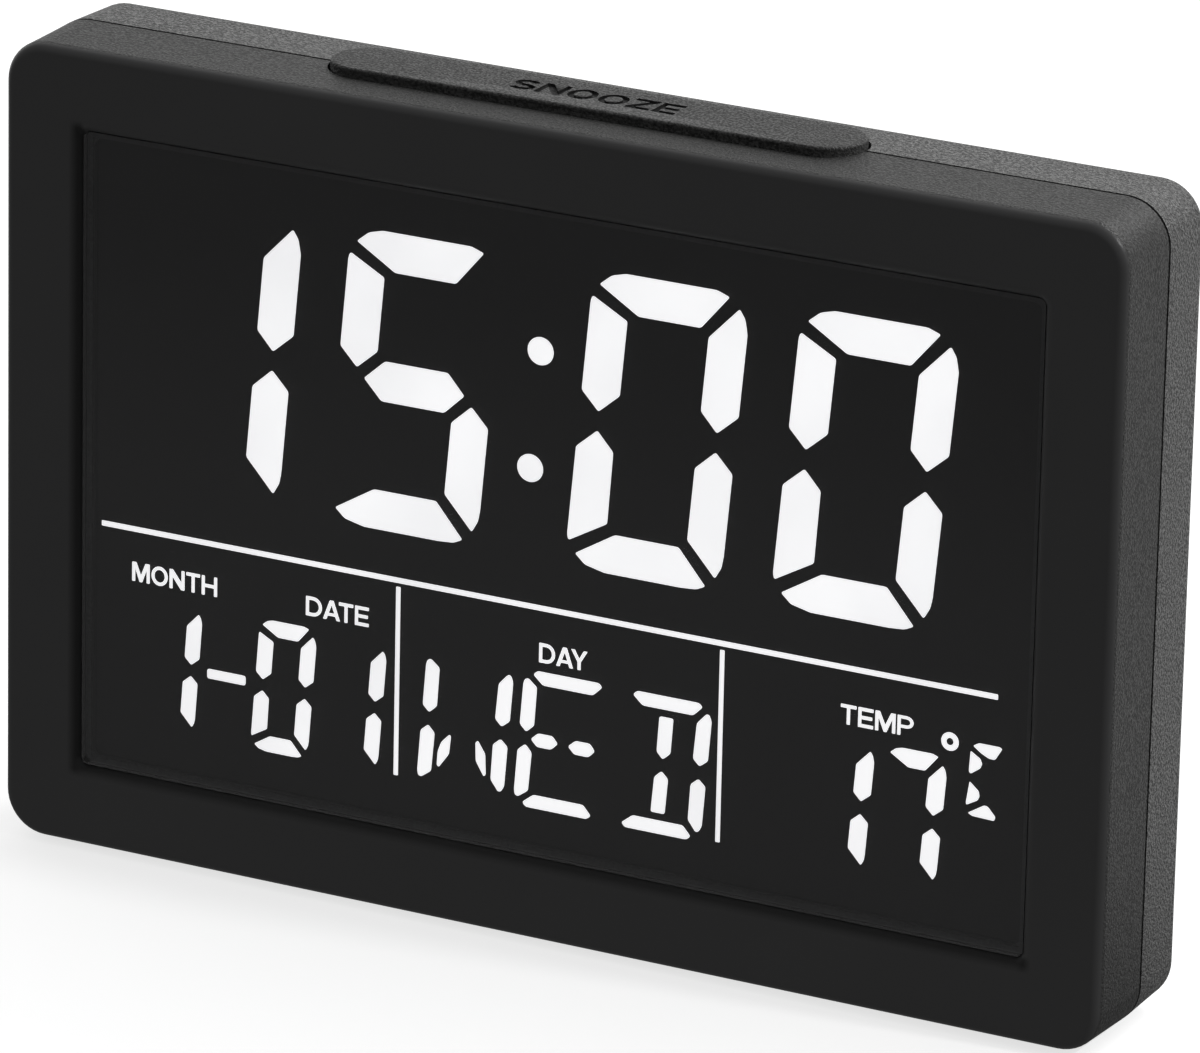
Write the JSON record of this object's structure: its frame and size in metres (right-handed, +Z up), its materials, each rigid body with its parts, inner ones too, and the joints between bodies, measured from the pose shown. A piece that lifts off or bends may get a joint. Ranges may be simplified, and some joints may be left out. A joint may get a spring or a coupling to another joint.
{
  "type": "desk day clock",
  "caption": "Slim desk alarm clock with a large white-on-black time, date, day and temperature display, a snooze bar on top, setting keys, battery bay and fold-out stand behind.",
  "frame": {"origin": "middle of the footprint, level with the underside of the rubber feet", "axes": "+X to the right seen from the front, +Y from the display to the back, +Z up"},
  "size_m": [0.1506, 0.0218, 0.1046],
  "materials": {
    "housing_plastic": "satin face, fine spark-eroded grain on the sides and back",
    "snooze_plastic": "fine grain",
    "key_plastic": "fine grain",
    "lens_acrylic": "smoke tinted, polished",
    "black_tape": "matt foam tape",
    "display_glass": "negative display, black ground",
    "white_film": "matt white film",
    "clear_acrylic": "polished",
    "white_plastic": "moulded, satin",
    "amber_film": "polyimide film",
    "board_laminate": "solder resist",
    "chip_resin": "moulded resin",
    "component_plastic": "moulded",
    "switch_steel": "stamped case",
    "battery_sleeve": "printed sleeve, left plain",
    "plated_steel": "nickel plated",
    "lead_insulation": "soft insulation",
    "foot_rubber": "matt",
    "screw_steel": "blackened"
  },
  "bodies": {
    "housing": {"front_shell": "housing_plastic", "rear_shell": "housing_plastic", "display_lens": "lens_acrylic", "lens_tape": "black_tape", "lcd_glass": "display_glass", "diffuser_sheet": "white_film", "light_guide": "clear_acrylic", "reflector_sheet": "white_film", "led_strip": "board_laminate", "backlight_frame": "white_plastic", "display_ribbon": "amber_film", "main_board": "board_laminate", "main_chip": "chip_resin", "board_parts": "chip_resin", "thermistor": "chip_resin", "sounder": "component_plastic", "dc_jack": "component_plastic", "snooze_switch": "component_plastic", "key_switches": "component_plastic", "alarm_switch": "switch_steel", "battery_cells": "battery_sleeve", "battery_plates": "plated_steel", "battery_springs": "plated_steel", "battery_lead": "lead_insulation", "rubber_feet": "foot_rubber", "housing_screws": "screw_steel", "board_screws": "screw_steel", "frame_screws": "screw_steel"},
    "snooze": {"snooze_key": "snooze_plastic"},
    "light_key": {"light_key": "key_plastic"},
    "down_key": {"down_key": "key_plastic"},
    "up_key": {"up_key": "key_plastic"},
    "alarm_key": {"alarm_key": "key_plastic"},
    "mode_key": {"mode_key": "key_plastic"},
    "slider": {"alarm_slider": "key_plastic"},
    "door": {"battery_door": "housing_plastic"},
    "leg": {"stand": "housing_plastic"}
  },
  "joints": [
    {"name": "snooze_press", "type": "slide", "parent": "housing", "child": "snooze", "axis": [0, 0, -1], "range_m": [0, 0.0007], "stiffness_N_per_m": 800, "springref_m": -0.0003},
    {"name": "light_key_press", "type": "slide", "parent": "housing", "child": "light_key", "axis": [0, -1, 0], "range_m": [0, 0.0006], "stiffness_N_per_m": 500, "springref_m": -0.0003},
    {"name": "down_key_press", "type": "slide", "parent": "housing", "child": "down_key", "axis": [0, -1, 0], "range_m": [0, 0.0006], "stiffness_N_per_m": 500, "springref_m": -0.0003},
    {"name": "up_key_press", "type": "slide", "parent": "housing", "child": "up_key", "axis": [0, -1, 0], "range_m": [0, 0.0006], "stiffness_N_per_m": 500, "springref_m": -0.0003},
    {"name": "alarm_key_press", "type": "slide", "parent": "housing", "child": "alarm_key", "axis": [0, -1, 0], "range_m": [0, 0.0006], "stiffness_N_per_m": 500, "springref_m": -0.0003},
    {"name": "mode_key_press", "type": "slide", "parent": "housing", "child": "mode_key", "axis": [0, -1, 0], "range_m": [0, 0.0006], "stiffness_N_per_m": 500, "springref_m": -0.0003},
    {"name": "alarm_slide", "type": "slide", "parent": "housing", "child": "slider", "axis": [1, 0, 0], "range_m": [0, 0.004]},
    {"name": "door_swing", "type": "hinge", "parent": "housing", "child": "door", "pos_m": [-0.045, 0.0109, 0.011], "axis": [-1, 0, 0], "range_deg": [0, 80]},
    {"name": "leg_swing", "type": "hinge", "parent": "housing", "child": "leg", "pos_m": [0, 0.0091, 0.0608], "axis": [1, 0, 0], "range_deg": [0, 35]}
  ]
}
